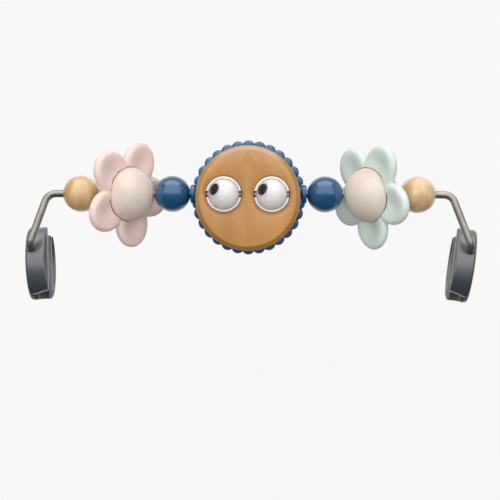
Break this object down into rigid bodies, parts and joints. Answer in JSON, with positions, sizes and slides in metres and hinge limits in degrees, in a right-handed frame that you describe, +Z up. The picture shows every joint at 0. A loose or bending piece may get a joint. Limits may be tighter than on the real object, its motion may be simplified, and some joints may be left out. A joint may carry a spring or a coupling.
{
  "type": "bouncer toy bar",
  "caption": "Bent steel wire with turned wooden beads, petal flowers and a round wooden face with rolling eyes, clipped at both ends onto a seat's side rails.",
  "frame": {"origin": "midway between the two clips, on the line where both rail channels pass", "axes": "+X along the bar towards the mint flower, +Z up, the face looks along -Y"},
  "size_m": [0.4013, 0.0783, 0.1428],
  "materials": {
    "satin_steel": "satin, slightly warm grey",
    "oiled_beech": "oiled, satin",
    "washed_beech": "pale wash, matt",
    "face_wood": "stained and oiled, satin",
    "blue_lacquer": "blue lacquer, semi-gloss",
    "pink_petals": "soft matt",
    "mint_petals": "soft matt",
    "white_eye": "white, semi-gloss",
    "black_pupil": "black, glossy",
    "grey_clip": "dark grey, satin"
  },
  "bodies": {
    "frame": {"bar_wire": "satin_steel", "left_rail_clip": "grey_clip", "right_rail_clip": "grey_clip"},
    "face": {"face_disc": "face_wood", "back_disc": "face_wood", "scalloped_wheel": "blue_lacquer", "face_dowel_1": "oiled_beech", "face_dowel_2": "oiled_beech", "face_dowel_3": "oiled_beech", "left_eye_cup": "white_eye", "right_eye_cup": "white_eye"},
    "left_eye": {"left_eyeball": "white_eye", "left_pupil": "black_pupil"},
    "right_eye": {"right_eyeball": "white_eye", "right_pupil": "black_pupil"},
    "left_washer": {"left_washer": "blue_lacquer"},
    "left_inner_ball": {"left_inner_ball": "blue_lacquer"},
    "left_flower": {"left_petals": "pink_petals", "left_flower_front_half": "washed_beech", "left_flower_back_half": "washed_beech", "left_flower_upper_dowel": "oiled_beech", "left_flower_lower_dowel": "oiled_beech"},
    "left_end_ball": {"left_end_ball": "oiled_beech"},
    "right_washer": {"right_washer": "blue_lacquer"},
    "right_inner_ball": {"right_inner_ball": "blue_lacquer"},
    "right_flower": {"right_petals": "mint_petals", "right_flower_front_half": "washed_beech", "right_flower_back_half": "washed_beech", "right_flower_upper_dowel": "oiled_beech", "right_flower_lower_dowel": "oiled_beech"},
    "right_end_ball": {"right_end_ball": "oiled_beech"}
  },
  "joints": [
    {"name": "face_turn", "type": "hinge", "parent": "frame", "child": "face", "pos_m": [0, -0.01473, 0.06327], "axis": [1, 0, 0], "continuous": true},
    {"name": "left_eye_roll", "type": "hinge", "parent": "face", "child": "left_eye", "pos_m": [-0.0206, -0.03743, 0.06372], "axis": [1, 0, 0], "continuous": true},
    {"name": "right_eye_roll", "type": "hinge", "parent": "face", "child": "right_eye", "pos_m": [0.0206, -0.03743, 0.06372], "axis": [1, 0, 0], "continuous": true},
    {"name": "left_washer_turn", "type": "hinge", "parent": "frame", "child": "left_washer", "pos_m": [-0.0486, -0.01473, 0.06327], "axis": [1, 0, 0], "continuous": true},
    {"name": "left_inner_ball_turn", "type": "hinge", "parent": "frame", "child": "left_inner_ball", "pos_m": [-0.0669, -0.01473, 0.06327], "axis": [1, 0, 0], "continuous": true},
    {"name": "left_flower_turn", "type": "hinge", "parent": "frame", "child": "left_flower", "pos_m": [-0.10725, -0.01473, 0.06327], "axis": [1, 0, 0], "continuous": true},
    {"name": "left_end_ball_turn", "type": "hinge", "parent": "frame", "child": "left_end_ball", "pos_m": [-0.1476, -0.01473, 0.06327], "axis": [1, 0, 0], "continuous": true},
    {"name": "right_washer_turn", "type": "hinge", "parent": "frame", "child": "right_washer", "pos_m": [0.0486, -0.01473, 0.06327], "axis": [1, 0, 0], "continuous": true},
    {"name": "right_inner_ball_turn", "type": "hinge", "parent": "frame", "child": "right_inner_ball", "pos_m": [0.0669, -0.01473, 0.06327], "axis": [1, 0, 0], "continuous": true},
    {"name": "right_flower_turn", "type": "hinge", "parent": "frame", "child": "right_flower", "pos_m": [0.10725, -0.01473, 0.06327], "axis": [1, 0, 0], "continuous": true},
    {"name": "right_end_ball_turn", "type": "hinge", "parent": "frame", "child": "right_end_ball", "pos_m": [0.1476, -0.01473, 0.06327], "axis": [1, 0, 0], "continuous": true}
  ]
}
